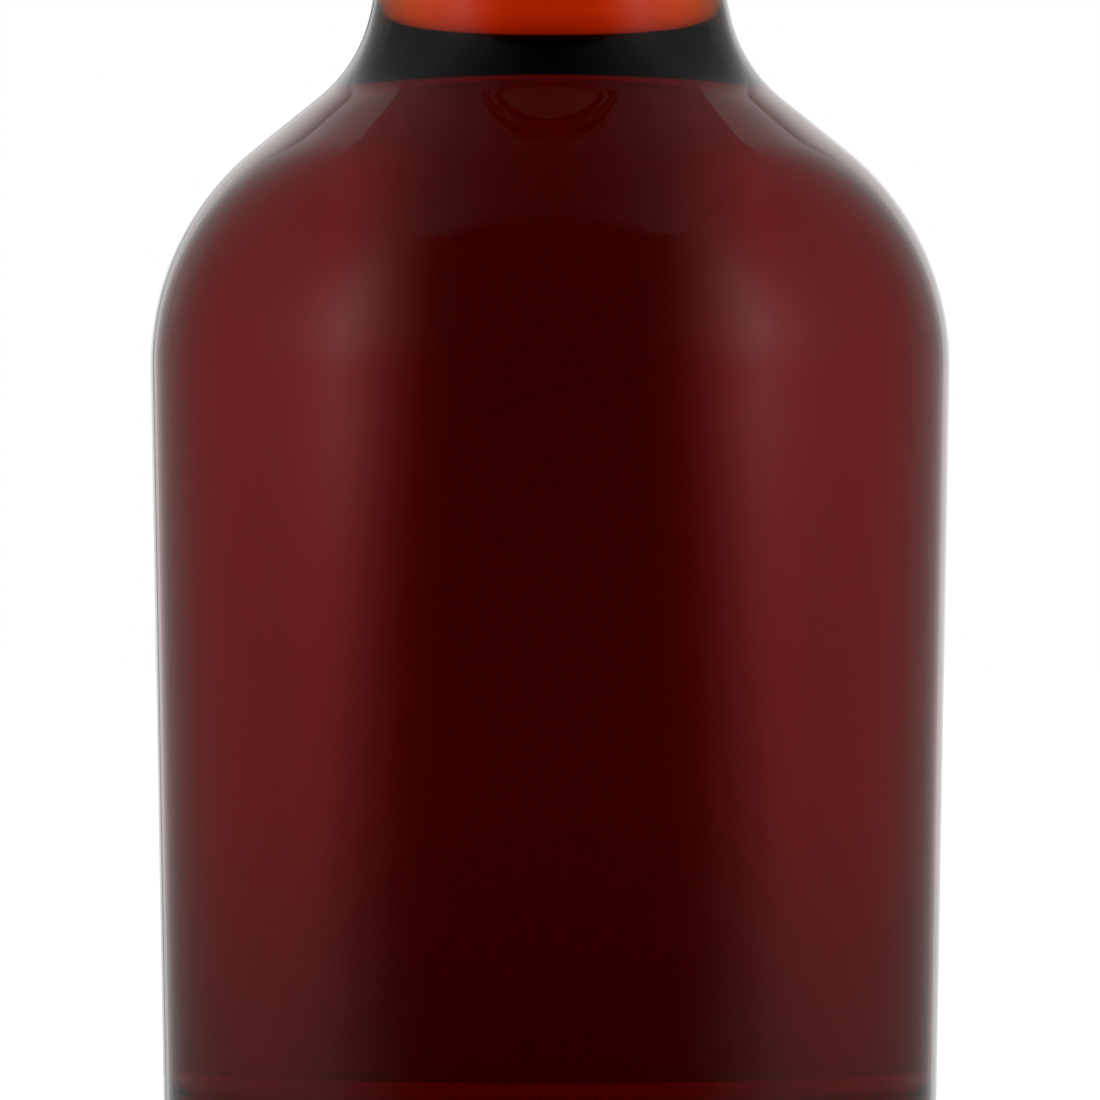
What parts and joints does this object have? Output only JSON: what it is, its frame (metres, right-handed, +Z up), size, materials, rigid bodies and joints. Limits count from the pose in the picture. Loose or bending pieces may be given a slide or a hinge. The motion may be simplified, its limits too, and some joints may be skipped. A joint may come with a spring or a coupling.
{
  "type": "rum bottle",
  "caption": "Squat round-shouldered clear glass spirits bottle with a wide flared neck, filled with dark rum and closed with a cork stopper that has a turned wooden head.",
  "frame": {"origin": "centre of the foot ring, on the surface that the bottle stands on", "axes": "+Z up the bottle's axis; the bottle is round, so X and Y are free"},
  "size_m": [0.098, 0.098, 0.212],
  "materials": {
    "clear_glass": "fire-polished clear flint glass",
    "dark_rum": "clear dark red-brown liquid",
    "stained_wood": "turned, dark stained, satin lacquer",
    "cork": "natural cork, sanded"
  },
  "bodies": {
    "root": {"bottle": "clear_glass", "rum": "dark_rum", "stopper_head": "stained_wood", "stopper_cork": "cork"}
  },
  "joints": []
}
